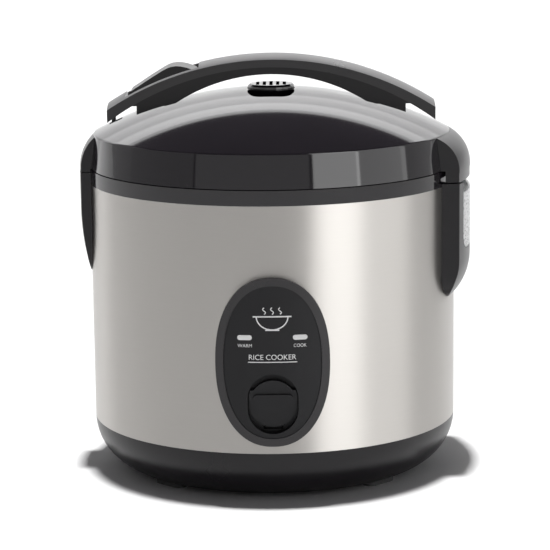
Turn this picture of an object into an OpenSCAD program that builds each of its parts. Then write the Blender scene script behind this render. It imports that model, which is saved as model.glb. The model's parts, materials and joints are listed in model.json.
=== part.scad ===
// Rice cooker of the jar type: a steel-walled body on a plastic base, a hinged
// dome lid with an arched carrying handle, a latch with a thumb lever, an inner
// pot, a heating plate with a magnetic thermostat, and a one-lever front panel.
// Millimetres, +Z up, the feet stand on z = 0, the front panel faces -Y,
// the hinge is at +X and the latch at -X.

/* [Body] */
// Outside radius of the brushed steel wall
body_r = 110; // [95:0.5:132]
// Height of the seam between the base and the steel wall
base_top = 31; // [26:0.5:37.5]
// Height of the steel wall's upper edge
wall_top = 174.5; // [145:0.5:210]
// Thickness of the steel wall
wall_t = 0.8; // [0.6:0.1:1.2]
// Height of the plastic collar above the steel wall
collar_h = 8.8; // [7.5:0.1:11]
// Height of the flat underside above the table
foot_h = 2.6; // [2:0.1:4]

/* [Lid] */
// Height of the lid's outer edge above the steel wall
lid_edge_h = 29.3; // [26:0.1:35]
// Rise of the dome above its edge
dome_rise = 25.7; // [21.5:0.1:31]
// Thickness of the lid's plastic
lid_t = 2.5; // [2:0.1:3]
// Radius of the vent cap
vent_r = 14; // [11:0.5:16.5]

/* [Handle] */
// Width of the handle, front to back
handle_w = 33; // [26:0.5:40]
// Clear height under the arch, above the crown of the dome
finger_gap = 9.3; // [8:0.1:13]

/* [Front panel] */
// Width of the oval bezel
panel_w = 65.5; // [55:0.5:79]
// Height of the oval bezel
panel_h = 98; // [84:0.5:118]
// Width of the bezel's rim
bezel_w = 4.6; // [3.5:0.1:6]
// Height of the bezel above the seam of the base
panel_gap = 4.9; // [4:0.1:6]
// Width of the switch recess
recess_w = 29; // [25:0.5:35]
// Height of the switch recess
recess_h = 35; // [31:0.5:42]

/* [Inner pot] */
// Gap between the pot and the well around it
pot_gap = 2.5; // [1.5:0.1:4]
// Wall thickness of the pot
pot_t = 1.5; // [1:0.1:2]

/* [Hinge and latch] */
// Reach of the hinge housing beyond the steel wall
hinge_out = 9.6; // [8.6:0.1:11.5]
// Half width of the hinge housing
hinge_y = 46; // [39:0.5:56]
// Reach of the latch housing beyond the steel wall
latch_out = 6; // [5.6:0.1:7.2]
// Half width of the latch housing
latch_y = 20; // [17:0.5:24]

/* [Hidden] */
$fn = 96;

// Colours
steel_c = [0.70, 0.69, 0.67];
zinc_c = [0.62, 0.63, 0.65];
alu_c = [0.78, 0.78, 0.80];
black_c = [0.07, 0.07, 0.08];
satin_c = [0.13, 0.12, 0.13];
grey_c = [0.22, 0.20, 0.21];
panel_c = [0.18, 0.18, 0.20];
white_c = [0.90, 0.90, 0.88];
rubber_c = [0.10, 0.10, 0.10];
clear_c = [0.86, 0.88, 0.88];
brass_c = [0.80, 0.66, 0.36];
copper_c = [0.72, 0.42, 0.27];

// Shared levels and radii
e = 1;
fit = 0.05;
base_arc = base_top;
base_arc_x = body_r - base_arc;
under_r = base_arc_x + sqrt(base_arc * base_arc - (base_arc - foot_h) * (base_arc - foot_h));
floor_t = 2.5;
plate_r = body_r - 44;
collar_top = wall_top + collar_h;
well_r = body_r - 14.7;
well_bottom = base_top + 13;
heat_top = base_top + 29;
rim_z = wall_top + 2.2;

// Lid
lid_r = body_r - 0.5;
lid_z = collar_top + 0.5;
lid_top_r = lid_r - 2.3;
edge_z = wall_top + lid_edge_h;
crown_z = edge_z + dome_rise;
dome_r = (lid_top_r * lid_top_r + dome_rise * dome_rise) / (2 * dome_rise);
lid_draft = (lid_r - lid_top_r) / (edge_z - lid_z);
dome_z = crown_z - dome_r;
cap_top = crown_z + 2.3;
cup_floor = crown_z - 15.5;

// Handle: three arcs in the plane of the arch
handle_half = body_r - 12;
handle_low = crown_z + finger_gap;
handle_mid = handle_low + 4.2;
handle_high = handle_low + 8.8;
high_drop = handle_high - (edge_z + 14.5);
high_arc = (handle_half * handle_half + high_drop * high_drop) / (2 * high_drop);
high_z = handle_high - high_arc;
mid_arc = high_arc * 0.9255;
mid_z = handle_mid - mid_arc;
low_arc = high_arc * 0.588;
low_z = handle_low - low_arc;
crown_h = 2.4;
crown_arc = (handle_w * handle_w / 4 + crown_h * crown_h) / (2 * crown_h);
foot_in = handle_half * 0.566;
foot_out = handle_half * 0.821;
screw_x = handle_half * 0.65;
core_z = dome_z + sqrt(dome_r * dome_r - pow(handle_half * 0.673, 2)) + 0.4;

// Release lever and latch hook
lever_x = -(handle_half - 16);
lever_top = high_z + sqrt(pow(high_arc + crown_h, 2) - lever_x * lever_x);
lever_z = lever_top - 6.2;
hook_x = -(body_r + 2.5);
hook_z = wall_top + 11;
hook_arm_z = wall_top + 13.7;
hook_tab_z = edge_z - 2.6;
hook_nose_z = wall_top - 3.5;
hook_tab_x = -(body_r - 13.5);

// Hinge
axis_x = body_r + 3;
axis_z = wall_top + 4;
hinge_r = body_r + hinge_out;
skirt_low = axis_z - 1.3;
skirt_top = axis_z + 4.2;
housing_top = wall_top - 3.5;
cheek_top = skirt_low - 0.9;
latch_r = body_r + latch_out;
latch_top = collar_top - 1.8;

// Front panel
panel_z = base_top + panel_gap + panel_h / 2;
recess_z = base_top + panel_gap + 7.3 + recess_h / 2;
lamp_x = panel_w * 0.241;
lamp_z = panel_z + panel_h * 0.15;
face_r = body_r + 2;
bezel_r = body_r + 2.6;

// Switch and thermostat
pivot_y = -60;
pivot_z = base_top + 3.5;
arm_top = base_top + 2.5;
stem_y = -(body_r - 7.5);

// ---------- helpers ----------

module ring(r_out, r_in, z0, z1) {
    difference() {
        translate([0, 0, z0])
            cylinder(h = z1 - z0, r = r_out);
        translate([0, 0, z0 - e])
            cylinder(h = z1 - z0 + 2 * e, r = r_in);
    }
}

module block(x0, x1, y0, y1, z0, z1) {
    translate([x0, y0, z0])
        cube([x1 - x0, y1 - y0, z1 - z0]);
}

module pin_x(r, x0, x1, y, z) {
    translate([x0, y, z])
        rotate([0, 90, 0])
            cylinder(h = x1 - x0, r = r);
}

module pin_y(r, y0, y1, x, z) {
    translate([x, y1, z])
        rotate([90, 0, 0])
            cylinder(h = y1 - y0, r = r);
}

module pin_z(r, z0, z1, x, y) {
    translate([x, y, z0])
        cylinder(h = z1 - z0, r = r);
}

// A flat slot shape with round ends
module stadium(w, h) {
    d = min(w, h);
    for (s = [-1, 1])
        translate([s * (w - d) / 2, s * (h - d) / 2])
            circle(r = d / 2);
    square([w > h ? w - d : d, w > h ? d : h - d], center = true);
}

// Extrude a shape drawn in x and z along y, from y0 to y1
module along_y(y0, y1) {
    translate([0, y1, 0])
        rotate([90, 0, 0])
            linear_extrude(height = y1 - y0)
                children();
}

// Extrude a shape drawn in y and z along x, from x0 to x1
module along_x(x0, x1) {
    translate([x0, 0, 0])
        rotate([90, 0, 90])
            linear_extrude(height = x1 - x0)
                children();
}

function oval(w, h, n) = [
    for (i = [0 : n - 1])
        let (a = 360 * i / n, c = cos(a), s = sin(a), p = 2 / 2.25)
            [w / 2 * sign(c) * pow(abs(c), p), h / 2 * sign(s) * pow(abs(s), p)]
];

// A coil spring, as a row of closed turns
module coil(r, wire, z0, z1, turns) {
    pitch = (z1 - z0 - 2 * wire) / turns;
    for (i = [0 : turns])
        translate([0, 0, z0 + wire + pitch * i])
            rotate_extrude()
                translate([r, 0])
                    circle(r = wire, $fn = 24);
}

// Half profile of the lid, a drafted wall under a dome, grown outward by d
module lid_profile(d, z_low) {
    intersection() {
        translate([0, dome_z])
            circle(r = dome_r + d, $fn = 720);
        polygon([
            [0, z_low], [lid_r + d + (lid_z - z_low) * lid_draft, z_low],
            [lid_top_r + d - 20 * lid_draft, edge_z + 20], [0, edge_z + 60]
        ]);
    }
}

// Half profile of the base's outside, grown outward by d
module base_profile(d) {
    intersection() {
        translate([base_arc_x, base_top])
            circle(r = base_arc + d);
        translate([0, foot_h - d])
            square([body_r + d + e, base_top - foot_h + d]);
    }
    translate([0, foot_h - d])
        square([base_arc_x, base_top - foot_h + d]);
}

// ---------- base and body ----------

module outer_shell() {
    color(steel_c)
        difference() {
            ring(body_r, body_r - wall_t, base_top, wall_top);
            along_y(-body_r - e, -body_r + 12)
                translate([0, recess_z])
                    stadium(recess_w + 3.6, recess_h + 3.6);
            for (x = [-lamp_x, lamp_x])
                pin_y(6, -body_r - e, -body_r + 12, x, lamp_z);
            block(-15.2, 15.2, body_r - 10, body_r + e, base_top + 7.8, base_top + 32.2);
            screw_places()
                pin_x(2.1, body_r - 8, body_r + 4, 0, 0);
        }
}

module base_shell() {
    color(satin_c)
        difference() {
            union() {
                rotate_extrude()
                    difference() {
                        base_profile(0);
                        intersection() {
                            base_profile(-floor_t);
                            square([body_r * 2, base_top * 2]);
                        }
                        translate([0, base_top - floor_t - 2])
                            square([body_r - floor_t, floor_t + 4]);
                    }
                ring(body_r - wall_t - fit, body_r - wall_t - 2.6, base_top - 6, base_top + 5);
            }
            pin_z(plate_r - 8, 0, foot_h + floor_t + e, 0, 0);
            base_screw_places()
                pin_z(1.9, 0, foot_h + floor_t + e, 0, 0);
        }
}

module base_screw_places() {
    for (a = [45 : 90 : 315])
        rotate([0, 0, a])
            translate([plate_r - 4, 0, 0])
                children();
}

module bottom_plate() {
    z0 = foot_h + floor_t;
    color(zinc_c)
        difference() {
            pin_z(plate_r, z0, z0 + 1.2, 0, 0);
            for (a = [15 : 30 : 345])
                rotate([0, 0, a])
                    translate([32, 0, z0 - e])
                        linear_extrude(height = 4)
                            stadium(26, 4);
            base_screw_places()
                pin_z(1.75, z0 - e, z0 + 3, 0, 0);
        }
}

module feet() {
    color(rubber_c)
        for (a = [45 : 90 : 315])
            rotate([0, 0, a])
                translate([under_r - 4.9, 0, 0])
                    linear_extrude(height = foot_h)
                        stadium(9, 22);
}

module base_screws() {
    z0 = foot_h + floor_t;
    color(zinc_c)
        base_screw_places()
            difference() {
                union() {
                    pin_z(3.5, foot_h - 1.5, foot_h, 0, 0);
                    pin_z(1.7, foot_h - 0.5, z0 + 3.5, 0, 0);
                }
                block(-2.8, 2.8, -0.4, 0.4, foot_h - 2, foot_h - 0.9);
                block(-0.4, 0.4, -2.8, 2.8, foot_h - 2, foot_h - 0.9);
            }
}

module top_collar() {
    r = body_r;
    t = wall_top;
    s = body_r - wall_t - fit;
    color(black_c)
        difference() {
            union() {
                difference() {
                    rotate_extrude()
                        polygon([
                            [r, t], [r, collar_top], [r - 3.5, collar_top], [r - 3.5, t + 1],
                            [r - 13, t + 1], [r - 13, t - 1], [s - 2, t - 1], [s - 2, t - 6],
                            [s, t - 6], [s, t]
                        ]);
                    block(r - 2.6, r + 20, -18, 18, t - 8, collar_top + e);
                }
                for (y = [-17, 12.3]) {
                    block(r - 5, axis_x, y, y + 4.7, axis_z - 3, axis_z + 3);
                    pin_y(3, y, y + 4.7, axis_x, axis_z);
                }
            }
            pin_y(1.5, -30, 30, axis_x, axis_z);
        }
}

module inner_well() {
    color(alu_c)
        difference() {
            union() {
                ring(well_r, well_r - 0.8, well_bottom, wall_top + 1.8);
                pin_z(well_r, well_bottom, well_bottom + 0.8, 0, 0);
                ring(body_r - 7, well_r - 0.8, wall_top + 1, wall_top + 1.8);
            }
            pin_z(16, well_bottom - e, well_bottom + 2, 0, 0);
            for (a = [75, 105])
                rotate([0, 0, a])
                    pin_z(3.2, well_bottom - e, well_bottom + 2, heater_ring_r(), 0);
            stud_places()
                pin_z(2.1, well_bottom - e, well_bottom + 2, 0, 0);
        }
}

function heater_ring_r() = well_r * 0.61;

module stud_places() {
    for (a = [30 : 120 : 270])
        rotate([0, 0, a])
            translate([well_r - 21, 0, 0])
                children();
}

// ---------- heating ----------

module heating_plate() {
    color(alu_c)
        difference() {
            pin_z(well_r - 11, heat_top - 8, heat_top, 0, 0);
            pin_z(17, heat_top - 9, heat_top + e, 0, 0);
            translate([0, 0, heat_top - 8])
                rotate_extrude()
                    translate([heater_ring_r(), 0])
                        circle(r = 4.05, $fn = 48);
            stud_places()
                pin_z(2.05, heat_top - 9, heat_top - 3, 0, 0);
        }
}

module heater_tube() {
    color(zinc_c) {
        rotate([0, 0, 105])
            translate([0, 0, heat_top - 8])
                rotate_extrude(angle = 330)
                    translate([heater_ring_r(), 0])
                        circle(r = 4, $fn = 48);
        for (a = [75, 105])
            rotate([0, 0, a])
                pin_z(2.4, well_bottom - 9, heat_top - 8, heater_ring_r(), 0);
    }
}

module heater_studs() {
    color(zinc_c)
        stud_places() {
            pin_z(2, well_bottom - 5, heat_top - 3.5, 0, 0);
            pin_z(5, well_bottom + 0.8, heat_top - 8, 0, 0);
            pin_z(3.8, well_bottom - 3, well_bottom, 0, 0);
        }
}

module warm_band() {
    z0 = base_top + 89;
    color(copper_c)
        rotate([0, 0, 100])
            rotate_extrude(angle = 340)
                translate([well_r + fit, z0])
                    square([1.1, 18]);
}

module thermostat_housing() {
    z0 = base_top + 9;
    color(zinc_c)
        difference() {
            union() {
                pin_z(14.5, z0, z0 + 17, 0, 0);
                pin_z(18.5, well_bottom + 0.8, well_bottom + 2, 0, 0);
            }
            pin_z(12.6, z0 + 1, z0 + 20, 0, 0);
            pin_z(4, z0 - e, z0 + 2, 0, 0);
        }
}

module sensor_cap() {
    color(alu_c)
        difference() {
            pin_z(12.3, heat_top - 8, heat_top, 0, 0);
            pin_z(11.2, heat_top - 9, heat_top - 1.5, 0, 0);
        }
}

module sensor_spring() {
    color(steel_c)
        coil(11.3, 0.45, base_top + 10, heat_top - 8, 4);
}

module ferrite() {
    color(satin_c)
        pin_z(9, heat_top - 4, heat_top - 1.5, 0, 0);
}

module magnet() {
    color(satin_c)
        pin_z(9, heat_top - 16, heat_top - 10, 0, 0);
}

module magnet_rod() {
    color(brass_c) {
        pin_z(2, arm_top + 0.2, heat_top - 16, 0, 0);
        pin_z(3.6, arm_top + 0.2, arm_top + 1.4, 0, 0);
    }
}

module thermal_fuse() {
    z0 = well_bottom - 3;
    color(clear_c) {
        pin_y(2, 28, 50, -30, z0 + 0.9);
        pin_y(0.6, 24, 54, -30, z0 + 0.9);
    }
    color(zinc_c)
        difference() {
            block(-34, -26, 36, 42, z0 - 2, z0 + 3);
            pin_y(2.0, 35, 43, -30, z0 + 0.9);
        }
}

// ---------- switch ----------

module switch_bracket() {
    z0 = foot_h + floor_t + 1.2;
    y0 = pivot_y - 6;
    color(zinc_c)
        difference() {
            union() {
                block(-9.5, 9.5, y0, y0 + 12, z0, z0 + 1.5);
                block(-9.5, -8, y0, y0 + 12, z0, pivot_z + 3.5);
                block(8, 9.5, y0, y0 + 12, z0, pivot_z + 3.5);
            }
            pin_x(1.5, -20, 20, pivot_y, pivot_z);
        }
}

module switch_pin() {
    color(steel_c)
        pin_x(1.5, -10.8, 10.8, pivot_y, pivot_z);
}

// Outline of the thumb piece of the switch lever
module paddle_outline() {
    r = recess_w / 2 - 0.7;
    arc_z = (recess_h - recess_w) / 2;
    intersection() {
        union() {
            translate([0, 2.6 - arc_z])
                circle(r = r);
            translate([-r, 2.6 - arc_z])
                square([2 * r, 5.1 + arc_z]);
        }
        union() {
            translate([0, arc_z])
                circle(r = r);
            translate([-r, -recess_h])
                square([2 * r, recess_h + arc_z]);
        }
    }
}

module switch_lever() {
    yf = -(body_r - 1.4);
    color(satin_c) {
        along_y(yf + 0.5, yf + 2)
            translate([0, recess_z])
                paddle_outline();
        along_y(yf - 1.2, yf + 1)
            translate([0, recess_z])
                intersection() {
                    paddle_outline();
                    translate([0, 11.3])
                        circle(r = 17);
                }
        along_y(yf - 2.9, yf)
            translate([0, recess_z + 3.3])
                stadium(recess_w * 0.77, 4);
    }
    color(zinc_c)
        difference() {
            union() {
                block(-5, 5, yf + 1.5, stem_y + 1.5, recess_z - 12, recess_z - 9);
                block(-5, 5, stem_y, stem_y + 1.5, arm_top - 1.5, recess_z - 9);
                block(-5, 5, stem_y, 4.5, arm_top - 1.5, arm_top);
                block(-7.6, 7.6, pivot_y - 3, pivot_y + 3, arm_top - 2, pivot_z + 3);
            }
            pin_x(1.55, -20, 20, pivot_y, pivot_z);
        }
}

module microswitch() {
    y0 = pivot_y - 10;
    color(satin_c) {
        difference() {
            block(11, 18, y0, y0 + 20, base_top - 8, base_top + 4);
            for (y = [y0 + 5, y0 + 15])
                pin_x(1.2, 10, 19, y, base_top - 5);
        }
        block(9.5, 11, y0 + 5, y0 + 9, base_top - 7, base_top - 3);
        pin_z(1.2, base_top + 3, base_top + 5.5, 14.5, y0 + 6);
    }
}

// ---------- front panel ----------

module panel_bezel() {
    color(grey_c)
        intersection() {
            difference() {
                along_y(-bezel_r - 6, -60)
                    translate([0, panel_z])
                        polygon(oval(panel_w, panel_h, 96));
                along_y(-bezel_r - 7, -59)
                    translate([0, panel_z])
                        polygon(oval(panel_w - 2 * bezel_w, panel_h - 2 * bezel_w, 96));
            }
            ring(bezel_r, body_r + fit, base_top, wall_top);
        }
}

module panel_face() {
    color(panel_c)
        difference() {
            union() {
                intersection() {
                    along_y(-face_r - 6, -60)
                        translate([0, panel_z])
                            polygon(oval(panel_w - 2 * bezel_w - 0.1, panel_h - 2 * bezel_w - 0.1, 96));
                    ring(face_r, body_r + fit, base_top, wall_top);
                }
                intersection() {
                    along_y(-body_r - 6, -(body_r - 6))
                        translate([0, recess_z])
                            stadium(recess_w + 3, recess_h + 3);
                    pin_z(body_r + 1, base_top, wall_top, 0, 0);
                }
            }
            along_y(-body_r - 6, -(body_r - 4.5))
                translate([0, recess_z])
                    stadium(recess_w, recess_h);
            block(-5.6, 5.6, -body_r, -(body_r - 8), recess_z - 16, recess_z - 8);
            for (x = [-lamp_x, lamp_x])
                along_y(-body_r - 6, -60)
                    translate([x, lamp_z])
                        stadium(8.5, 3.1);
        }
}

module lamp_lenses() {
    color(white_c)
        intersection() {
            for (x = [-lamp_x, lamp_x])
                along_y(-body_r - 6, -60)
                    translate([x, lamp_z])
                        stadium(8.3, 2.9);
            ring(face_r + 0.35, body_r - 1, base_top, wall_top);
        }
}

module lamp_board() {
    y0 = -(body_r - 8.5);
    color([0.16, 0.36, 0.22])
        difference() {
            block(-23, 23, y0, y0 + 1.6, lamp_z - 7, lamp_z + 8);
            for (x = [-20, 0, 20])
                pin_y(1.3, y0 - e, y0 + 3, x, lamp_z - 4);
        }
}

module lamps() {
    color([0.95, 0.62, 0.30])
        for (x = [-lamp_x, lamp_x]) {
            pin_y(2.3, -(body_r - 6), -(body_r - 8.5), x, lamp_z);
            translate([x, -(body_r - 6), lamp_z])
                sphere(r = 2.3, $fn = 32);
        }
}

// ---------- latch side ----------

module latch_mask(z0, z1) {
    block(-150, -60, -latch_y, latch_y, z0, z1);
}

module latch_housing() {
    z_arc = wall_top - 14.5;
    arc = 145;
    low = z_arc - 41;
    color(satin_c)
        difference() {
            intersection() {
                rotate_extrude()
                    difference() {
                        union() {
                            intersection() {
                                translate([latch_r - arc, z_arc])
                                    circle(r = arc, $fn = 360);
                                translate([0, low])
                                    square([latch_r + e, z_arc - low + 5]);
                            }
                            translate([0, z_arc])
                                square([latch_r, latch_top - z_arc]);
                        }
                        square([body_r + fit, 300]);
                    }
                union() {
                    latch_mask(low + latch_y, latch_top + e);
                    pin_x(latch_y, -150, -60, 0, low + latch_y);
                }
            }
            intersection() {
                ring(latch_r - 1.6, body_r - e, z_arc, latch_top + e);
                block(-150, -60, -latch_y + 1.8, latch_y - 1.8, z_arc, latch_top + 2);
            }
        }
}

module latch_strike() {
    color(zinc_c)
        intersection() {
            ring(latch_r - 1.6 - fit, latch_r - 1.95, wall_top - 13, wall_top + 0.5);
            union() {
                block(-150, -60, -9, 9, wall_top - 1.2, wall_top + 0.3);
                block(-150, -60, 11, 14, wall_top - 12, wall_top + 0.3);
                block(-150, -60, -14, -11, wall_top - 12, wall_top + 0.3);
                block(-150, -60, -14, 14, wall_top - 1.2, wall_top + 0.3);
            }
        }
}

module latch_cover() {
    arc = 25;
    zc = collar_top + 0.7;
    color(satin_c)
        difference() {
            intersection() {
                rotate_extrude()
                    difference() {
                        union() {
                            translate([latch_r - 0.2 - arc, zc])
                                circle(r = arc);
                            translate([0, latch_top + 0.5])
                                square([latch_r - 0.2, zc - latch_top - 0.5]);
                        }
                        square([200, latch_top + 0.5]);
                        square([body_r + 0.3, lid_z]);
                        lid_profile(fit, lid_z - e);
                    }
                latch_mask(latch_top, edge_z + 10);
            }
            intersection() {
                rotate_extrude()
                    difference() {
                        union() {
                            translate([latch_r - 0.2 - arc, zc])
                                circle(r = arc - 1.1);
                            translate([0, latch_top - e])
                                square([latch_r - 1.8, zc - latch_top + e]);
                        }
                        square([200, latch_top - e]);
                        square([body_r - 2, 400]);
                    }
                latch_mask(latch_top, edge_z + 10);
                block(-150, -60, -latch_y + 1.8, latch_y - 1.8, 0, 300);
            }
            pin_y(0.95, -latch_y + 0.8, latch_y - 0.8, hook_x, hook_z);
        }
}

module latch_hook() {
    x0 = hook_x - 0.6;
    x1 = hook_x + 0.6;
    tab = hook_tab_x;
    color(zinc_c)
        difference() {
            union() {
                block(x0, x1, -6, 6, hook_nose_z, hook_z);
                block(x0 - 0.65, x1, -6, 6, hook_nose_z, hook_nose_z + 2);
                pin_y(1.8, -6, 6, hook_x, hook_z);
                block(x0, x1, -3.5, 3.5, hook_z, hook_arm_z + 1.6);
                block(x0, tab, -3.5, 3.5, hook_arm_z, hook_arm_z + 1.6);
                block(tab - 1.5, tab, -3.5, 3.5, hook_arm_z, hook_tab_z);
            }
            pin_y(0.95, -30, 30, hook_x, hook_z);
        }
}

module latch_pin() {
    color(steel_c)
        pin_y(0.9, -latch_y + 0.9, latch_y - 0.9, hook_x, hook_z);
}

module latch_spring() {
    color(steel_c)
        translate([hook_x, 0, hook_z])
            rotate([90, 0, 0])
                coil(1.4, 0.25, 6.6, 11, 4);
}

// ---------- hinge side ----------

module hinge_housing() {
    arc = 33.3;
    z_arc = wall_top - 44.5;
    drop = sqrt(arc * arc - pow(arc - hinge_out + 0.2, 2));
    low = z_arc - drop;
    color(satin_c)
        difference() {
            intersection() {
                rotate_extrude()
                    difference() {
                        union() {
                            intersection() {
                                translate([hinge_r - arc, z_arc])
                                    circle(r = arc);
                                translate([0, low])
                                    square([hinge_r + e, z_arc - low + 5]);
                            }
                            translate([0, z_arc])
                                square([hinge_r, cheek_top - z_arc]);
                        }
                        square([body_r + fit, 300]);
                    }
                union() {
                    block(60, 150, -hinge_y, hinge_y, low + 14, cheek_top + e);
                    block(60, 150, -hinge_y + 14, hinge_y - 14, low - e, cheek_top);
                    for (y = [-1, 1])
                        pin_x(14, 60, 150, y * (hinge_y - 14), low + 14);
                }
            }
            dew_mask(60, 150, 0.4);
            screw_places()
                pin_x(1.6, body_r - 8, body_r + 4.2, 0, 0);
        }
}

// The outline of the dew collector seen from the side, grown by d
module dew_mask(x0, x1, d) {
    y = hinge_y - 8 + d;
    z = wall_top - 38.5 - d;
    block(x0, x1, -y, y, z + 9, housing_top + 10);
    block(x0, x1, -y + 9, y - 9, z, housing_top);
    for (s = [-1, 1])
        pin_x(9, x0, x1, s * (y - 9), z + 9);
}

module dew_collector() {
    top = housing_top - 1;
    color(clear_c)
        difference() {
            intersection() {
                ring(hinge_r, body_r + 0.5, 60, top);
                dew_mask(60, 150, 0);
            }
            intersection() {
                ring(hinge_r - 1.5, body_r + 2, 60, top + e);
                dew_mask(60, 150, -1.6);
            }
        }
}

module screw_places() {
    for (y = [-22, 22])
        translate([0, y, wall_top - 52])
            children();
}

module housing_screws() {
    x0 = sqrt(pow(body_r - wall_t, 2) - 24 * 24) - 4.2;
    color(zinc_c)
        screw_places() {
            pin_x(1.55, x0, body_r + 4, 0, 0);
            pin_x(3, x0, x0 + 2, 0, 0);
        }
}

module hinge_profile(d, z_low) {
    arc = 21.4;
    zc = collar_top + 0.7;
    translate([hinge_r - arc, zc])
        circle(r = arc - d);
    translate([0, z_low])
        square([hinge_r - d, zc - z_low]);
}

module hinge_cover() {
    color(satin_c)
        difference() {
            intersection() {
                rotate_extrude()
                    difference() {
                        hinge_profile(0, skirt_top);
                        square([200, skirt_top]);
                        square([body_r + 2, lid_z]);
                        lid_profile(fit, lid_z - e);
                    }
                block(60, 150, -hinge_y, hinge_y, skirt_top, edge_z + 20);
            }
            intersection() {
                rotate_extrude()
                    difference() {
                        hinge_profile(2, skirt_top - e);
                        square([200, skirt_top - e]);
                        square([body_r - 2, 400]);
                    }
                block(60, 150, -hinge_y + 2, hinge_y - 2, 0, 400);
            }
        }
}

module hinge_skirt() {
    color(satin_c)
        difference() {
            intersection() {
                ring(hinge_r - 0.25, body_r + 2, skirt_low, skirt_top);
                block(60, 150, -hinge_y + 0.2, hinge_y - 0.2, 0, 400);
            }
            intersection() {
                ring(hinge_r - 2.2, body_r - 9, skirt_low - e, skirt_top + e);
                block(60, 150, -hinge_y + 2, hinge_y - 2, 0, 400);
            }
        }
}

module hinge_leaf() {
    color(zinc_c)
        difference() {
            union() {
                for (y = [-12, 5])
                    pin_y(3.6, y, y + 7, axis_x, axis_z);
                for (y = [-12, 5])
                    block(axis_x - 3.3, axis_x - 0.9, y, y + 7, axis_z, axis_z + 10);
                block(axis_x - 3.3, axis_x - 0.9, -12, 12, axis_z + 9, axis_z + 17);
            }
            pin_y(1.55, -30, 30, axis_x, axis_z);
            for (y = [-7, 7])
                pin_x(1.6, body_r - 8, body_r + 8, y, axis_z + 13);
        }
}

module hinge_pin() {
    color(steel_c)
        pin_y(1.5, -17.5, 17.5, axis_x, axis_z);
}

module hinge_spring() {
    color(steel_c)
        translate([axis_x, 0, axis_z])
            rotate([90, 0, 0])
                coil(2.2, 0.4, -4.5, 4.5, 4);
}

// ---------- power inlet and wiring ----------

module power_inlet() {
    z0 = base_top + 6;
    color(black_c)
        difference() {
            union() {
                block(-17, 17, body_r + 0.2, body_r + 2.4, z0, z0 + 28);
                block(-15, 15, body_r - 13, body_r + 1, z0 + 2, z0 + 26);
            }
            block(-12, 12, body_r - 11.5, body_r + 5, z0 + 6, z0 + 22);
            for (p = [[-7, 1.6], [0, -2.4], [7, 1.6]])
                block(p[0] - 1.05, p[0] + 1.05, body_r - 14, body_r - 11, z0 + p[1] + 11.95, z0 + p[1] + 16.05);
        }
}

module inlet_pins() {
    z0 = base_top + 20;
    color(brass_c)
        for (p = [[-7, 1.6], [0, -2.4], [7, 1.6]])
            block(p[0] - 1, p[0] + 1, body_r - 13.7, body_r - 1.5, z0 + p[1] - 2, z0 + p[1] + 2);
}

module wires() {
    color([0.75, 0.75, 0.72]) {
        for (p = [[body_r - 26, 105, 130], [body_r - 31, 105, 148]])
            rotate([0, 0, p[1]])
                translate([0, 0, base_top - 8])
                    rotate_extrude(angle = p[2])
                        translate([p[0], 0])
                            circle(r = 1.5, $fn = 24);
        for (p = [[body_r - 26, 105], [body_r - 31, 105]])
            rotate([0, 0, p[1]])
                pin_z(1.5, base_top - 8, base_top + 10, p[0], 0);
    }
}

// ---------- lid ----------

module lid_cover() {
    color(black_c)
        difference() {
            union() {
                rotate_extrude()
                    difference() {
                        lid_profile(0, lid_z);
                        lid_profile(-lid_t, lid_z - e);
                        translate([-400, 0])
                            square([400, 400]);
                    }
                intersection() {
                    scoop(2.2, crown_z - 8);
                    rotate_extrude()
                        intersection() {
                            lid_profile(-1, lid_z);
                            square([200, 400]);
                        }
                }
            }
            pin_z(vent_r + 0.4, crown_z - 20, crown_z + e, 0, 0);
            scoop(0, crown_z - 5.2);
            block(-lid_r - e, -lid_r + 8, -4.4, 4.4, hook_arm_z - 0.9, hook_arm_z + 3.3);
            block(-handle_half + 0.2, -handle_half + 8, -3.9, 3.9, edge_z - 1, crown_z);
            handle_screw_places()
                pin_z(1.8, edge_z - 10, crown_z + 20, 0, 0);
        }
}

// Finger scoop in front of the vent, grown by d, with its floor at z0
module scoop(d, z0) {
    difference() {
        translate([0, 0, z0])
            linear_extrude(height = 20)
                polygon([
                    [-14 - d, -9], [14 + d, -9], [14 + d, -16], [12.4 + d, -25],
                    [10 + d, -30 - d], [6, -32 - d], [-6, -32 - d], [-10 - d, -30 - d],
                    [-12.4 - d, -25], [-14 - d, -16]
                ]);
        pin_z(vent_r + 1.8 - d, z0 - e, z0 + 30, 0, 0);
    }
}

module lid_liner() {
    z0 = lid_z + 0.7;
    r = body_r - 3.5;
    color(satin_c)
        difference() {
            union() {
                pin_z(r, z0, z0 + 2, 0, 0);
                ring(body_r - 11, body_r - 13, z0 - 2.85, z0 + 1);
            }
            pin_z(5.2, z0 - e, z0 + 4, 0, 0);
            for (a = [0 : 60 : 300])
                rotate([0, 0, a])
                    pin_z(1.6, z0 - e, z0 + 4, 40, 0);
        }
}

module inner_lid() {
    z0 = wall_top + 6.1;
    color(alu_c)
        difference() {
            union() {
                pin_z(body_r - 12, z0, z0 + 1, 0, 0);
                ring(60, 57, z0 - 1, z0 + 0.5);
            }
            for (a = [0 : 45 : 315])
                rotate([0, 0, a])
                    pin_z(1.5, z0 - 2, z0 + 3, 24, 0);
            pin_z(5.2, z0 - 2, z0 + 3, 0, 0);
        }
}

module lid_knob() {
    z0 = wall_top + 6.1;
    color(rubber_c)
        difference() {
            union() {
                pin_z(8, z0 - 3, z0, 0, 0);
                pin_z(5.1, z0 - 1, lid_z + 0.7, 0, 0);
                pin_z(7, z0 + 1, lid_z + 0.7, 0, 0);
            }
            pin_z(3, z0 - 4, lid_z + 6, 0, 0);
        }
}

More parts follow.
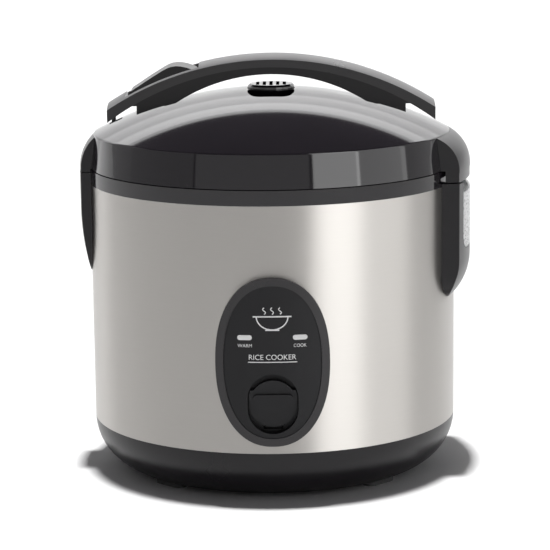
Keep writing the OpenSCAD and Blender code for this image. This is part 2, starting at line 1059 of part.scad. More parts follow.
module lid_gasket() {
    z0 = wall_top + 4;
    r = body_r - 17;
    color(rubber_c)
        rotate_extrude()
            polygon([
                [r, z0 + 2.1], [r, z0 + 0.8], [r + 1, z0 + 0.8], [r + 1.5, z0],
                [r + 6.4, z0], [r + 7, z0 + 0.8], [r + 7, z0 + 2.1]
            ]);
}

module vent_cup() {
    z0 = cup_floor;
    color(satin_c)
        difference() {
            union() {
                pin_z(vent_r + 2.6, z0, crown_z - lid_t - 0.9, 0, 0);
                pin_z(7, lid_z + 2.7, z0 + 1, 0, 0);
            }
            pin_z(vent_r + 0.3, z0 + 2, crown_z, 0, 0);
            pin_z(5, lid_z, z0 + 4, 0, 0);
            scoop(2.3, crown_z - 8.1);
        }
}

module vent_seal() {
    color(rubber_c)
        rotate_extrude()
            translate([vent_r - 2.2, cup_floor + 3])
                circle(r = 1, $fn = 32);
}

module vent_cap() {
    color(black_c)
        difference() {
            union() {
                pin_z(vent_r, cup_floor + 4.2, cap_top - 1.2, 0, 0);
                translate([0, 0, cap_top - 1.2])
                    cylinder(h = 1.2, r1 = vent_r, r2 = vent_r - 1.2);
            }
            pin_z(vent_r - 1.6, cup_floor + 3, cap_top - 2, 0, 0);
            for (i = [-2 : 2])
                block(4 * i - 1, 4 * i + 1, -sl(i), sl(i), cap_top - 4, cap_top + e);
        }
}

function sl(i) = vent_r * 0.78 - abs(i) * 1.5;

module inner_pot() {
    z0 = heat_top + 0.05;
    r = well_r - 0.8 - pot_gap;
    color(alu_c)
        rotate_extrude()
            difference() {
                union() {
                    translate([0, z0])
                        square([r - 14, rim_z + 1.5 - z0]);
                    translate([0, z0 + 14])
                        square([r, rim_z + 1.5 - z0 - 14]);
                    translate([r - 14, z0 + 14])
                        circle(r = 14);
                    translate([r - 2, rim_z])
                        square([body_r - 9 - r + 2, 1.5]);
                }
                translate([0, z0 + pot_t])
                    square([r - 14, 200]);
                translate([0, z0 + 14])
                    square([r - pot_t, 200]);
                intersection() {
                    translate([r - 14, z0 + 14])
                        circle(r = 14 - pot_t);
                    translate([0, z0])
                        square([200, 200]);
                }
                translate([-400, 0])
                    square([400, 400]);
            }
}

// ---------- handle ----------

module arch(r, y, zc) {
    pin_y(r, -y, y, 0, zc);
}

module handle_top() {
    color(grey_c)
        difference() {
            intersection() {
                translate([0, 0, high_z])
                    rotate([90, 0, 0])
                        rotate_extrude()
                            intersection() {
                                translate([high_arc + crown_h - crown_arc, 0])
                                    circle(r = crown_arc);
                                translate([high_arc - 60, -handle_w / 2])
                                    square([80, handle_w]);
                            }
                block(-handle_half, handle_half, -handle_w, handle_w, edge_z, handle_high + 20);
            }
            arch(mid_arc, handle_w, mid_z);
            difference() {
                block(lever_x - 5.2, lever_x + 39, -13.4, 13.4, edge_z, handle_high + 20);
                arch(high_arc - 8, handle_w, high_z);
            }
            block(-handle_half + 0.8, lever_x + 2, -3.3, 3.3, edge_z, lever_z - 3);
            block(-handle_half + 6, lever_x + 2, -3.3, 3.3, edge_z, lever_z - 1.2);
            pin_y(1.2, -15.2, 15.2, lever_x, lever_z);
        }
}

module handle_core() {
    color(black_c)
        difference() {
            intersection() {
                arch(mid_arc - fit, handle_w / 2 - 1, mid_z);
                block(-handle_half, handle_half, -handle_w, handle_w, core_z, handle_high + 20);
            }
            arch(low_arc, handle_w, low_z);
            translate([0, 0, dome_z])
                sphere(r = dome_r + fit, $fn = 400);
            pin_y(4.6, -13.8, 13.8, lever_x, lever_z);
            handle_screw_places()
                pin_z(1.6, edge_z - 10, core_z + 9, 0, 0);
        }
}

module handle_screw_places() {
    for (x = [-1, 1])
        for (y = [-7.5, 7.5])
            translate([x * screw_x, y, 0])
                children();
}

module handle_feet() {
    color(black_c)
        difference() {
            for (x = [-foot_out, foot_in])
                block(x, x + foot_out - foot_in, -13, 13, edge_z, core_z);
            translate([0, 0, dome_z])
                sphere(r = dome_r + fit, $fn = 400);
            handle_screw_places()
                pin_z(1.7, edge_z - 10, crown_z + 20, 0, 0);
        }
}

module handle_screws() {
    x = screw_x;
    z0 = dome_z + sqrt(pow(dome_r - lid_t, 2) - pow(x + 4, 2)) - 0.8;
    color(zinc_c)
        handle_screw_places() {
            pin_z(1.55, z0 - 1, core_z + 8, 0, 0);
            pin_z(3.4, z0 - 2.2, z0, 0, 0);
        }
}

module release_lever() {
    x = lever_x;
    z = lever_z;
    color(satin_c)
        difference() {
            union() {
                along_y(-13, 13)
                    polygon([
                        [x - 3.4, z + 1.3], [x - 2, z + 4.8], [x + 10, z + 12.6], [x + 17, z + 16.9],
                        [x + 20, z + 18.5], [x + 22.5, z + 19.4], [x + 25.5, z + 19.8],
                        [x + 28.5, z + 19.6], [x + 32, z + 18.8], [x + 35.5, z + 17.6],
                        [x + 37, z + 16.8], [x + 37.6, z + 15.8], [x + 36.6, z + 14.6], [x + 22, z + 9.8], [x + 6, z + 1.3],
                        [x + 3, z - 2]
                    ]);
                pin_y(3.4, -13, 13, x, z);
                along_y(-2.8, 2.8)
                    polygon([
                        [x + 2, z - 2.5], [x - 1, z + 2], [hook_tab_x + 0.3, z - 10],
                        [hook_tab_x + 0.3, hook_tab_z - 2.6], [hook_tab_x + 2.6, hook_tab_z - 2.6],
                        [hook_tab_x + 2.6, z - 11]
                    ]);
            }
            pin_y(1.25, -30, 30, x, z);
        }
}

module release_pin() {
    color(steel_c)
        pin_y(1.2, -15, 15, lever_x, lever_z);
}

outer_shell();
base_shell();
bottom_plate();
feet();
base_screws();
top_collar();
inner_well();
heating_plate();
heater_tube();
heater_studs();
warm_band();
thermostat_housing();
sensor_cap();
sensor_spring();
ferrite();
magnet();
magnet_rod();
switch_bracket();
switch_pin();
switch_lever();
microswitch();
thermal_fuse();
panel_bezel();
panel_face();
lamp_lenses();
lamp_board();
lamps();
latch_housing();
latch_strike();
hinge_housing();
hinge_pin();
hinge_spring();
dew_collector();
housing_screws();
power_inlet();
inlet_pins();
wires();
lid_cover();
lid_liner();
inner_lid();
lid_knob();
lid_gasket();
vent_cup();
vent_seal();
vent_cap();
handle_top();
handle_core();
handle_feet();
handle_screws();
latch_cover();
latch_hook();
latch_pin();
latch_spring();
release_lever();
release_pin();
hinge_cover();
hinge_skirt();
hinge_leaf();
inner_pot();
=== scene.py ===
"""Looks of the rice cooker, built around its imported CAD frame. Metres, +Z up, front panel towards -Y."""

import json
import math

import bmesh
import bpy
from mathutils import Matrix, Vector


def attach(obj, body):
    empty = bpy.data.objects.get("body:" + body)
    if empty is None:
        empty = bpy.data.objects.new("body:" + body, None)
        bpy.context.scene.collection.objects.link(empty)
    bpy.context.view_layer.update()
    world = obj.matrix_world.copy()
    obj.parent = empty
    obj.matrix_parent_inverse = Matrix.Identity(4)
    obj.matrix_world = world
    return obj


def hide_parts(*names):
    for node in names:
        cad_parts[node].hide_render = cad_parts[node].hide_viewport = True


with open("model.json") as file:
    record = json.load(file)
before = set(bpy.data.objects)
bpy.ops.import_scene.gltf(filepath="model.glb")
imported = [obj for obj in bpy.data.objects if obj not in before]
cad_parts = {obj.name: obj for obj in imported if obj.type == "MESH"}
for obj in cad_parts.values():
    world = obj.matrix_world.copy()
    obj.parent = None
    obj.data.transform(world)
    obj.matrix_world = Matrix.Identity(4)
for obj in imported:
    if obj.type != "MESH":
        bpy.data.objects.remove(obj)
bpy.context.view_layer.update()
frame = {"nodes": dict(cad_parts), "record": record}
NODES = frame["nodes"]
RECORD = frame["record"]
MM = 0.001
SHARP_ANGLE = math.radians(28)  # faces that meet at more than this keep a hard edge
QUARTER_TURN = 0.25
STREAKS_PER_METRE = 2600.0


# ---------- materials ----------

class Graph:
    """A short way to write a node tree."""

    def __init__(self, name):
        self.mat = bpy.data.materials.new(name)
        self.mat.use_nodes = True
        self.tree = self.mat.node_tree
        self.tree.nodes.clear()
        self.out = self.add("ShaderNodeOutputMaterial")
        self.bsdf = self.add("ShaderNodeBsdfPrincipled")
        self.link(self.bsdf, "BSDF", self.out, "Surface")

    def add(self, kind, **settings):
        node = self.tree.nodes.new(kind)
        for key, value in settings.items():
            setattr(node, key, value)
        return node

    def link(self, a, a_name, b, b_name):
        self.tree.links.new(a.outputs[a_name], b.inputs[b_name])

    def object_coords(self):
        coords = self.add("ShaderNodeTexCoord")
        mapping = self.add("ShaderNodeMapping")
        self.link(coords, "Object", mapping, "Vector")
        return mapping

    def noise(self, source, scale, detail=3.0, rough=0.5):
        n = self.add("ShaderNodeTexNoise")
        n.inputs["Scale"].default_value = scale
        n.inputs["Detail"].default_value = detail
        n.inputs["Roughness"].default_value = rough
        self.link(source, "Vector", n, "Vector")
        return n

    def span(self, source, output, low, high, to="Roughness"):
        m = self.add("ShaderNodeMapRange")
        m.inputs["From Min"].default_value = 0.3
        m.inputs["From Max"].default_value = 0.7
        m.inputs["To Min"].default_value = low
        m.inputs["To Max"].default_value = high
        self.link(source, output, m, "Value")
        self.link(m, "Result", self.bsdf, to)
        return m

    def tint(self, source, output, dark, light):
        ramp = self.add("ShaderNodeValToRGB")
        ramp.color_ramp.elements[0].position = 0.3
        ramp.color_ramp.elements[0].color = (*dark, 1)
        ramp.color_ramp.elements[1].position = 0.7
        ramp.color_ramp.elements[1].color = (*light, 1)
        self.link(source, output, ramp, "Fac")
        self.link(ramp, "Color", self.bsdf, "Base Color")
        return ramp

    def bump(self, source, output, strength, distance):
        b = self.add("ShaderNodeBump")
        b.inputs["Strength"].default_value = strength
        b.inputs["Distance"].default_value = distance
        self.link(source, output, b, "Height")
        self.link(b, "Normal", self.bsdf, "Normal")
        return b


def scaled(colour, k):
    return tuple(min(1.0, c * k) for c in colour)


def plastic(name, colour, rough, grain=0.15, grain_size=1800.0, vary=0.12, spec=0.5):
    """Moulded plastic: slow drifts of tone and gloss under a fine moulded grain."""
    g = Graph(name)
    c = g.object_coords()
    wide = g.noise(c, 18.0, 4.0)
    fine = g.noise(c, grain_size, 2.0)
    g.tint(wide, "Fac", scaled(colour, 1 - vary), scaled(colour, 1 + vary))
    g.span(wide, "Fac", rough * 0.9, rough * 1.1)
    g.bump(fine, "Fac", grain, 0.00004)
    g.bsdf.inputs["IOR"].default_value = 1.5
    g.bsdf.inputs["Specular IOR Level"].default_value = spec
    return g.mat


def metal(name, colour, rough, vary=0.08, scratch=900.0):
    """Plain metal with fine scratches that run no particular way."""
    g = Graph(name)
    c = g.object_coords()
    wide = g.noise(c, 25.0, 4.0)
    fine = g.noise(c, scratch, 3.0)
    g.tint(wide, "Fac", scaled(colour, 1 - vary), scaled(colour, 1 + vary * 0.5))
    g.span(fine, "Fac", rough * 0.8, rough * 1.2)
    g.bump(fine, "Fac", 0.08, 0.00003)
    g.bsdf.inputs["Metallic"].default_value = 1.0
    return g.mat


def brushed(name, colour, rough, aniso, turned=False):
    """Metal brushed round the Z axis: fine streaks that run round the wall, or rings on a turned face."""
    g = Graph(name)
    coords = g.add("ShaderNodeTexCoord")
    split = g.add("ShaderNodeSeparateXYZ")
    g.link(coords, "Object", split, "Vector")
    angle = g.add("ShaderNodeMath", operation="ARCTAN2")
    g.tree.links.new(split.outputs["Y"], angle.inputs[0])
    g.tree.links.new(split.outputs["X"], angle.inputs[1])
    radius = g.add("ShaderNodeVectorMath", operation="LENGTH")
    flat = g.add("ShaderNodeCombineXYZ")
    g.link(split, "X", flat, "X")
    g.link(split, "Y", flat, "Y")
    g.tree.links.new(flat.outputs["Vector"], radius.inputs[0])
    streak = g.add("ShaderNodeCombineXYZ")
    height = g.add("ShaderNodeMath", operation="MULTIPLY")
    height.inputs[1].default_value = STREAKS_PER_METRE
    g.tree.links.new(split.outputs["Z"], height.inputs[0])
    ring = g.add("ShaderNodeMath", operation="MULTIPLY")
    ring.inputs[1].default_value = STREAKS_PER_METRE if turned else 40.0
    g.tree.links.new(radius.outputs["Value"], ring.inputs[0])
    around = g.add("ShaderNodeMath", operation="MULTIPLY")
    around.inputs[1].default_value = 9.0
    g.tree.links.new(angle.outputs["Value"], around.inputs[0])
    g.tree.links.new(around.outputs["Value"], streak.inputs["X"])
    g.tree.links.new(height.outputs["Value"], streak.inputs["Y"])
    g.tree.links.new(ring.outputs["Value"], streak.inputs["Z"])
    fine = g.noise(streak, 1.0, 5.0, 0.65)
    body = g.object_coords()
    wide = g.noise(body, 9.0, 3.0)
    mix = g.add("ShaderNodeMath", operation="MULTIPLY_ADD")
    mix.inputs[1].default_value = 0.75
    g.tree.links.new(fine.outputs["Fac"], mix.inputs[0])
    part = g.add("ShaderNodeMath", operation="MULTIPLY")
    part.inputs[1].default_value = 0.25
    g.tree.links.new(wide.outputs["Fac"], part.inputs[0])
    g.tree.links.new(part.outputs["Value"], mix.inputs[2])
    g.tint(mix, "Value", scaled(colour, 0.97), scaled(colour, 1.02))
    g.span(mix, "Value", rough * 0.95, rough * 1.05)
    g.bump(fine, "Fac", 0.06, 0.00001)
    g.bsdf.inputs["Metallic"].default_value = 1.0
    g.bsdf.inputs["Anisotropic"].default_value = aniso
    g.bsdf.inputs["Anisotropic Rotation"].default_value = QUARTER_TURN  # light spreads across the brushing
    tangent = g.add("ShaderNodeTangent", direction_type="RADIAL", axis="Z")
    g.link(tangent, "Tangent", g.bsdf, "Tangent")
    return g.mat


def clear(name, colour, rough, transmission, vary=0.05):
    """Clear or frosted plastic that lets part of the light through."""
    g = Graph(name)
    c = g.object_coords()
    wide = g.noise(c, 30.0, 3.0)
    fine = g.noise(c, 700.0, 2.0)
    g.tint(wide, "Fac", scaled(colour, 1 - vary), scaled(colour, 1 + vary))
    g.span(fine, "Fac", rough * 0.8, rough * 1.2)
    g.bump(wide, "Fac", 0.03, 0.00004)
    g.bsdf.inputs["Transmission Weight"].default_value = transmission
    g.bsdf.inputs["IOR"].default_value = 1.49
    return g.mat


SLOTS = {
    "brushed_steel": brushed("brushed_steel", (0.53, 0.512, 0.488), 0.46, 0.95),
    "zinc_plate": metal("zinc_plate", (0.52, 0.53, 0.54), 0.36),
    "spring_steel": metal("spring_steel", (0.60, 0.60, 0.61), 0.22),
    "pot_aluminium": brushed("pot_aluminium", (0.72, 0.72, 0.73), 0.32, 0.5, True),
    "gloss_black": plastic("gloss_black", (0.0110, 0.0090, 0.0120), 0.07, 0.015, 500.0),
    "satin_black": plastic("satin_black", (0.0090, 0.0078, 0.0095), 0.30, 0.08, spec=0.30),
    "warm_grey": plastic("warm_grey", (0.0130, 0.0105, 0.0130), 0.30, 0.06, spec=0.5),
    "panel_grey": plastic("panel_grey", (0.0110, 0.0108, 0.0125), 0.42, 0.25, 2600.0, spec=0.25),
    "rubber": plastic("rubber", (0.016, 0.016, 0.016), 0.75, 0.3, 1200.0),
    "silicone": plastic("silicone", (0.36, 0.36, 0.35), 0.45),
    "clear_plastic": clear("clear_plastic", (0.86, 0.87, 0.87), 0.30, 0.35),
    "lens_white": plastic("lens_white", (0.93, 0.93, 0.92), 0.25, 0.04),
    "lamp_glass": clear("lamp_glass", (0.90, 0.55, 0.25), 0.08, 0.7),
    "circuit_board": plastic("circuit_board", (0.02, 0.12, 0.05), 0.35),
    "brass": metal("brass", (0.78, 0.58, 0.26), 0.22),
    "heater_foil": metal("heater_foil", (0.62, 0.45, 0.25), 0.4),
    "ferrite_black": plastic("ferrite_black", (0.022, 0.021, 0.022), 0.6, 0.5, 900.0),
    "ceramic_white": plastic("ceramic_white", (0.72, 0.72, 0.70), 0.4),
}
LABEL = plastic("label_ink", (0.92, 0.92, 0.92), 0.45, 0.02)

NODE_SLOT = {s["node"]: s["material_slot"] for s in RECORD["subparts"]}
for node_name, obj in NODES.items():
    material = SLOTS[NODE_SLOT[node_name]]
    obj.data.materials.clear()
    obj.data.materials.append(material)


# ---------- mesh helpers ----------

def new_object(name, bm, material, smooth=True):
    """Turn a bmesh in millimetres into an object in metres."""
    bmesh.ops.recalc_face_normals(bm, faces=bm.faces)
    bmesh.ops.scale(bm, vec=(MM, MM, MM), verts=bm.verts)
    mesh = bpy.data.meshes.new(name)
    bm.to_mesh(mesh)
    bm.free()
    if smooth:
        mesh.shade_smooth()
        mesh.set_sharp_from_angle(angle=SHARP_ANGLE)
    if material:
        mesh.materials.append(material)
    obj = bpy.data.objects.new(name, mesh)
    bpy.context.collection.objects.link(obj)
    return obj


def revolve(profile, steps=288):
    """A closed half profile of (radius, height) points turned round Z.

    A radius of 0 is one point on the axis.
    """
    bm = bmesh.new()
    rings = []
    for r, z in profile:
        if r < 1e-6:
            rings.append([bm.verts.new((0, 0, z))])
        else:
            rings.append([
                bm.verts.new((r * math.cos(t), r * math.sin(t), z))
                for t in (2 * math.pi * i / steps for i in range(steps))
            ])
    for a, b in zip(rings, rings[1:] + rings[:1]):
        for i in range(steps):
            j = (i + 1) % steps
            corners = []
            for v in (a[i % len(a)], a[j % len(a)], b[j % len(b)], b[i % len(b)]):
                if v not in corners:
                    corners.append(v)
            if len(corners) > 2:
                bm.faces.new(corners)
    return bm


def prism(points, z0, z1):
    bm = bmesh.new()
    low = [bm.verts.new((x, y, z0)) for x, y in points]
    high = [bm.verts.new((x, y, z1)) for x, y in points]
    bm.faces.new(low)
    bm.faces.new(high)
    for i in range(len(points)):
        j = (i + 1) % len(points)
        bm.faces.new((low[i], low[j], high[j], high[i]))
    return bm


def box_points(x0, x1, y0, y1):
    return [(x0, y0), (x1, y0), (x1, y1), (x0, y1)]


def round_points(x, y, r, steps=32):
    angles = (2 * math.pi * i / steps for i in range(steps))
    return [(x + r * math.cos(t), y + r * math.sin(t)) for t in angles]


def combine(obj, tool, operation):
    """Apply one boolean to obj and throw the tool away."""
    mod = obj.modifiers.new("combine", "BOOLEAN")
    mod.operation = operation
    mod.solver = "EXACT"
    mod.object = tool
    graph = bpy.context.evaluated_depsgraph_get()
    mesh = bpy.data.meshes.new_from_object(obj.evaluated_get(graph))
    obj.modifiers.remove(mod)
    old = obj.data
    obj.data = mesh
    mesh.name = old.name
    bpy.data.meshes.remove(old)
    tool_mesh = tool.data
    bpy.data.objects.remove(tool)
    bpy.data.meshes.remove(tool_mesh)


def helix(name, radius, wire, length, turns, origin):
    """A round wire wound into an open coil along Y."""
    bm = bmesh.new()
    steps, sides = 28 * turns, 12
    rings = []
    for i in range(steps + 1):
        t = 2 * math.pi * turns * i / steps
        h = -length / 2 + length * i / steps
        out = Vector((math.cos(t), 0, math.sin(t)))
        ring = []
        for k in range(sides):
            u = 2 * math.pi * k / sides
            q = out * (radius + wire * math.cos(u)) + Vector((0, h + wire * math.sin(u), 0))
            ring.append(bm.verts.new(q + Vector(origin)))
        rings.append(ring)
    for a, b in zip(rings, rings[1:]):
        for k in range(sides):
            m = (k + 1) % sides
            bm.faces.new((a[k], a[m], b[m], b[k]))
    bm.faces.new(rings[0])
    bm.faces.new(rings[-1])
    return new_object(name, bm, SLOTS["spring_steel"])


# ---------- lid shell, turned with a true smooth surface ----------

LID_R, LID_Z = 109.5, 183.8
LID_TOP_R, EDGE_Z, CROWN_Z = 107.2, 203.8, 229.5
DOME_R = (LID_TOP_R ** 2 + (CROWN_Z - EDGE_Z) ** 2) / (2 * (CROWN_Z - EDGE_Z))
DOME_Z = CROWN_Z - DOME_R
VENT_R = 14.0
BORE_R = VENT_R + 0.4
LID_SHELL = 2.5
RIM_ROUNDING = 0.9
SCOOP_BACK = -9
SCREW_X, SCREW_Y, SCREW_R = 63.75, 7.5, 1.8
HOOK_SLOT = (-111, -101.5, -4.4, 4.4)
TAIL_SLOT = (-97.8, -90, -3.9, 3.9)


def lid_curve(inset, inner_r, rounding, arcs=60):
    """Points of the lid's surface from its lower edge up the wall and in over the dome."""
    top = LID_TOP_R - inset
    dome = DOME_R - inset
    edge = DOME_Z + math.sqrt(dome ** 2 - top ** 2)
    slope = (LID_R - LID_TOP_R) / (EDGE_Z - LID_Z)
    low = LID_R - inset
    wall = Vector((-slope, 1)).normalized()
    tangent = Vector((-(edge - DOME_Z), top)).normalized()
    corner = Vector((top, edge))
    points = [Vector((low, LID_Z)), Vector((low + (corner.x - low) * 0.5, (LID_Z + edge) / 2))]
    if rounding:
        a = corner - wall * rounding
        b = corner + tangent * rounding
        for i in range(9):
            t = i / 8
            points.append(a * (1 - t) ** 2 + corner * 2 * t * (1 - t) + b * t ** 2)
        start = b.x
    else:
        points.append(corner)
        start = top
    start -= 0.4
    for i in range(arcs + 1):
        r = start + (inner_r - start) * i / arcs
        points.append(Vector((r, DOME_Z + math.sqrt(dome ** 2 - r ** 2))))
    return [(q.x, q.y) for q in points]


def scoop_points(d):
    """Outline of the hollow in front of the vent, drawn d inside its edge."""
    r = VENT_R + 1.8 - d
    start = math.atan2(SCOOP_BACK, math.sqrt(r * r - SCOOP_BACK ** 2))
    arc = [
        (r * math.cos(t), r * math.sin(t))
        for t in (start + (-math.pi - 2 * start) * i / 24 for i in range(25))
    ]
    side = [
        (-14 - d, SCOOP_BACK), (-14 - d, -16), (-13.6 - d, -20), (-12.4 - d, -25), (-11.4 - d, -28 - d * 0.6),
        (-10 - d * 0.8, -30 - d), (-8, -31.4 - d), (-6, -32 - d)
    ]
    return arc + side + [(-x, y) for x, y in reversed(side)]


def cut(obj, name, points, z0, z1):
    """Cut a prism out of obj."""
    combine(obj, new_object(name, prism(points, z0, z1), None), "DIFFERENCE")


outer = lid_curve(0.0, BORE_R, RIM_ROUNDING)
inner = lid_curve(LID_SHELL, BORE_R, 0.0)
lid = new_object("lid_shell", revolve(outer + inner[::-1]), SLOTS["gloss_black"])
pan = new_object("pan", prism(scoop_points(2.2), CROWN_Z - 8, CROWN_Z + 4), SLOTS["gloss_black"])
under = lid_curve(1.0, 0.0, 0.0)
combine(pan, new_object("under", revolve(under + [(0.0, LID_Z)], 96), None), "INTERSECT")
cut(pan, "bore", round_points(0, 0, BORE_R, 96), 200, 240)
combine(lid, pan, "UNION")
cut(lid, "scoop", scoop_points(0.0), CROWN_Z - 5.2, CROWN_Z + 9)
cut(lid, "hook_slot", box_points(*HOOK_SLOT), 187.3, 191.5)
cut(lid, "tail_slot", box_points(*TAIL_SLOT), 202.8, CROWN_Z)
for sx in (-1, 1):
    for sy in (-SCREW_Y, SCREW_Y):
        cut(lid, "drill", round_points(sx * SCREW_X, sy, SCREW_R), 190, 240)
lid.data.shade_smooth()
lid.data.set_sharp_from_angle(angle=SHARP_ANGLE)
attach(lid, "lid")
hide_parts("lid_cover")

spring = helix("hinge_coil", 2.2, 0.4, 8.2, 5, (113.0, 0.0, 178.5))
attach(spring, "base")
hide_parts("hinge_spring")
spring = helix("latch_coil", 1.4, 0.25, 3.9, 5, (-112.5, -8.8, 185.5))
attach(spring, "lid")
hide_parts("latch_spring")

# The handle and what is in it don't show in reflections, so the dome mirrors the backdrop alone.
for node_name in ("handle_top", "handle_core", "handle_feet", "release_lever",
                  "handle_screws", "release_pin"):
    NODES[node_name].visible_glossy = False


# ---------- softened edges on the moulded parts ----------

def soften(node, width, segments=3, angle=35):
    """Round a node's sharp edges by a width in millimetres."""
    obj = NODES[node]
    mod = obj.modifiers.new("soft_edges", "BEVEL")
    mod.width = width * MM
    mod.segments = segments
    mod.limit_method = "ANGLE"
    mod.angle_limit = math.radians(angle)
    mod.harden_normals = True
    mod.use_clamp_overlap = True


for node, width in (
    ("handle_top", 0.7), ("handle_core", 0.5), ("latch_cover", 0.4), ("latch_housing", 0.4),
    ("hinge_cover", 0.5), ("hinge_housing", 0.5), ("switch_lever", 0.45), ("release_lever", 0.6),
    ("vent_cap", 0.35),
):
    soften(node, width)


# ---------- panel markings ----------

FACE_R = 112.0
BOWL_Z = 110.5


def wrap(bm, x_mid, z_mid, lift=0.05):
    """Lay a flat x-y drawing in millimetres round the face of the panel."""
    for v in bm.verts:
        x, z, depth = v.co.x + x_mid, v.co.y + z_mid, v.co.z
        r = FACE_R + lift + depth
        t = x / FACE_R
        v.co = Vector((r * math.sin(t), -r * math.cos(t), z))


def marking(name, bm, x_mid, z_mid):
    """Put one printed mark on the panel."""
    wrap(bm, x_mid, z_mid)
    obj = new_object(name, bm, LABEL, smooth=False)
    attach(obj, "base")
    return obj


def words(name, text, x_mid, z_mid, height, width):
    """Capital letters of a given height and overall width, as a thin printed mesh."""
    curve = bpy.data.curves.new(name, "FONT")
    curve.body = text
    curve.align_x = "CENTER"
    curve.size = 1.0
    curve.resolution_u = 6
    temp = bpy.data.objects.new(name, curve)
    bpy.context.collection.objects.link(temp)
    graph = bpy.context.evaluated_depsgraph_get()
    mesh = bpy.data.meshes.new_from_object(temp.evaluated_get(graph))
    bpy.data.objects.remove(temp)
    bpy.data.curves.remove(curve)
    bm = bmesh.new()
    bm.from_mesh(mesh)
    bpy.data.meshes.remove(mesh)
    xs = [v.co.x for v in bm.verts]
    ys = [v.co.y for v in bm.verts]
    kx = width / (max(xs) - min(xs))
    ky = height / (max(ys) - min(ys))
    mx, my = (max(xs) + min(xs)) / 2, (max(ys) + min(ys)) / 2
    for v in bm.verts:
        v.co = Vector(((v.co.x - mx) * kx, (v.co.y - my) * ky, 0))
    thicken(bm)
    return marking(name, bm, x_mid, z_mid)


def thicken(bm, depth=0.04):
    """Give a flat drawing a printed film's thickness."""
    top = bmesh.ops.extrude_face_region(bm, geom=bm.faces[:])
    for v in (g for g in top["geom"] if isinstance(g, bmesh.types.BMVert)):
        v.co.z += depth


def stroke(points, width, closed=False):
    """A flat ribbon of constant width along a drawn line."""
    bm = bmesh.new()
    n = len(points)
    pairs = []
    for i, q in enumerate(points):
        before = points[i - 1] if (i or closed) else q
        after = points[(i + 1) % n] if (i < n - 1 or closed) else q
        way = (Vector(after) - Vector(before)).normalized()
        side = Vector((-way.y, way.x)) * width / 2
        pairs.append([bm.verts.new((q[0] + side.x * k, q[1] + side.y * k, 0)) for k in (1, -1)])
    for i in range(n if closed else n - 1):
        a, b = pairs[i], pairs[(i + 1) % n]
        bm.faces.new((a[0], a[1], b[1], b[0]))
    thicken(bm)
    return bm


def arc(cx, cy, rx, ry, a0, a1, steps=24):
    return [
        (cx + rx * math.cos(t), cy + ry * math.sin(t))
        for t in (math.radians(a0 + (a1 - a0) * i / steps) for i in range(steps + 1))
    ]


words("mark_warm", "WARM", -15.8, 94.9, 1.9, 8.2)
words("mark_cook", "COOK", 15.8, 94.9, 1.9, 7.4)
words("mark_title", "RICE COOKER", 0.0, 88.2, 3.0, 27.0)
marking("mark_line", stroke([(x, 0) for x in range(-14, 15)], 0.5), 0.0, 85.3)
marking("mark_bowl", stroke(arc(0, 1.2, 9.0, 7.6, 180, 360), 0.7), 0.0, BOWL_Z)
marking("mark_rim", stroke([(x, 1.2) for x in range(-11, 12)], 0.8), 0.0, BOWL_Z)
marking("mark_foot", stroke([(x, -6.6) for x in range(-4, 5)], 0.8), 0.0, BOWL_Z)
for i, x in enumerate((-4.5, 0.0, 4.5)):
    wave = [(x + 0.8 * math.sin(t * 2 * math.pi / 12), 2.6 + 0.32 * t) for t in range(13)]
    marking("mark_steam_%d" % (i + 1), stroke(wave, 0.6), 0.0, BOWL_Z)


# ---------- stage, lights and camera ----------

def stage_mesh():
    """A pale floor that curves up into a backdrop behind the object."""
    g = Graph("stage_paper")
    c = g.object_coords()
    n = g.noise(c, 6.0, 2.0)
    g.tint(n, "Fac", (0.83, 0.83, 0.83), (0.86, 0.86, 0.86))
    g.bsdf.inputs["Roughness"].default_value = 0.9
    mesh = bpy.data.meshes.new("stage_floor")
    bm = bmesh.new()
    profile = [(-4.0, 0.0), (2.2, 0.0)]
    for i in range(1, 13):
        a = math.pi / 2 * i / 12
        profile.append((2.2 + 0.9 * math.sin(a), 0.9 * (1 - math.cos(a))))
    profile.append((3.1, 2.4))
    rows = [[bm.verts.new((x, y, z)) for x in (-4.5, 4.5)] for y, z in profile]
    for a, b in zip(rows, rows[1:]):
        bm.faces.new((a[0], a[1], b[1], b[0]))
    bm.to_mesh(mesh)
    bm.free()
    for p in mesh.polygons:
        p.use_smooth = True
    mesh.materials.append(g.mat)
    obj = bpy.data.objects.new("stage_floor", mesh)
    bpy.context.collection.objects.link(obj)


def area_light(name, place, target, size, power, size_y=None):
    data = bpy.data.lights.new(name, "AREA")
    data.energy = power
    data.shape = "RECTANGLE"
    data.size = size
    data.size_y = size_y or size
    obj = bpy.data.objects.new(name, data)
    obj.location = place
    way = Vector(target) - Vector(place)
    obj.rotation_euler = way.to_track_quat("-Z", "Y").to_euler()
    bpy.context.collection.objects.link(obj)
    return obj


stage_mesh()
MIDDLE = Vector((0, 0, 0.15))


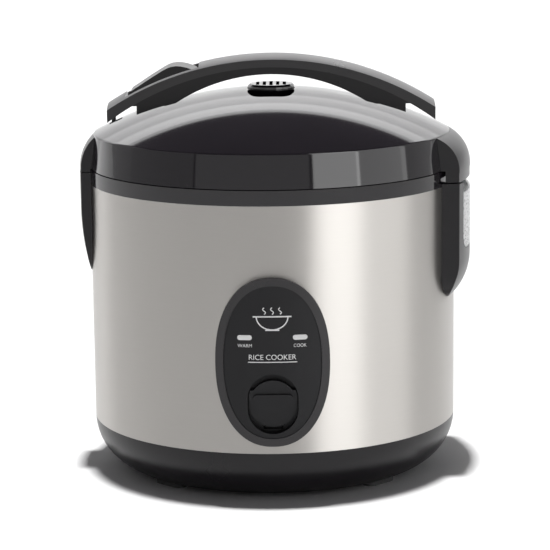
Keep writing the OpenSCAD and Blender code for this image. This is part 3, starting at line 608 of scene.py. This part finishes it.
def panel(name, azimuth, low, high, spread, distance, radiance):
    """A flat light that faces the object and shows only in what mirrors it.

    Angles are in degrees: azimuth from +Y towards +X, elevation from low to high, spread across.
    """
    az = math.radians(azimuth)
    z0 = distance * math.tan(math.radians(low))
    z1 = distance * math.tan(math.radians(high))
    place = MIDDLE + Vector((distance * math.sin(az), distance * math.cos(az), (z0 + z1) / 2))
    width = 2 * distance * math.tan(math.radians(spread / 2))
    target = Vector((MIDDLE.x, MIDDLE.y, place.z))
    obj = area_light(name, place, target, width, radiance * math.pi * width * (z1 - z0), z1 - z0)
    obj.visible_camera = False
    obj.visible_diffuse = False


panel("back_high", 0, 31, 38.8, 100, 1.9, 1.7)
panel("back_middle", 0, 22, 31, 100, 1.9, 0.8)
panel("back_low", 0, 8, 22, 100, 1.9, 0.2)
panel("front_right", 140, -4, 38, 30, 1.7, 4.0)
panel("steel_key", 137, 12, 62, 20, 1.6, 0.9)
panel("side_right", 108, -4, 38, 38, 1.7, 2.0)
panel("far_right", 76, -4, 38, 34, 1.7, 0.6)
panel("side_left", -62, -4, 40, 44, 1.7, 0.5)
panel("far_left", -108, -4, 30, 48, 1.7, 0.42)
panel("front", 192, -4, 20, 70, 1.7, 0.62)
wash = area_light("backdrop_wash", (0, 1.2, 1.6), (0, 3.1, 1.2), 4.0, 16, 0.7)
wash.visible_camera = False
wash.visible_glossy = False
top = area_light("top_soft", (0, 0.1, 6.0), MIDDLE, 0.28, 430)
top.visible_camera = False
top.visible_glossy = False

world = bpy.data.worlds.new("studio")
bpy.context.scene.world = world
world.use_nodes = True
background = world.node_tree.nodes["Background"]
background.inputs["Color"].default_value = (0.86, 0.84, 0.88, 1)
background.inputs["Strength"].default_value = 0.10
bpy.context.scene.view_settings.view_transform = "Standard"

CAMERA_PLACE = Vector((1.05, -1451.2, 393.3)) * MM
CAMERA_DOWN, CAMERA_ROLL, CAMERA_TURN = 10.886, -0.670, 0.45  # degrees

camera_data = bpy.data.cameras.new("camera")
camera_data.lens = 158.35
camera_data.sensor_width = 36.0
camera_data.clip_end = 30.0
camera = bpy.data.objects.new("camera", camera_data)
turn = Matrix.Rotation(math.radians(CAMERA_TURN), 4, "Z")
pitch = Matrix.Rotation(math.radians(90 - CAMERA_DOWN), 4, "X")
roll = Matrix.Rotation(math.radians(CAMERA_ROLL), 4, "Z")
camera.rotation_euler = (turn @ pitch @ roll).to_euler()
camera.location = turn @ CAMERA_PLACE
bpy.context.collection.objects.link(camera)
bpy.context.scene.camera = camera
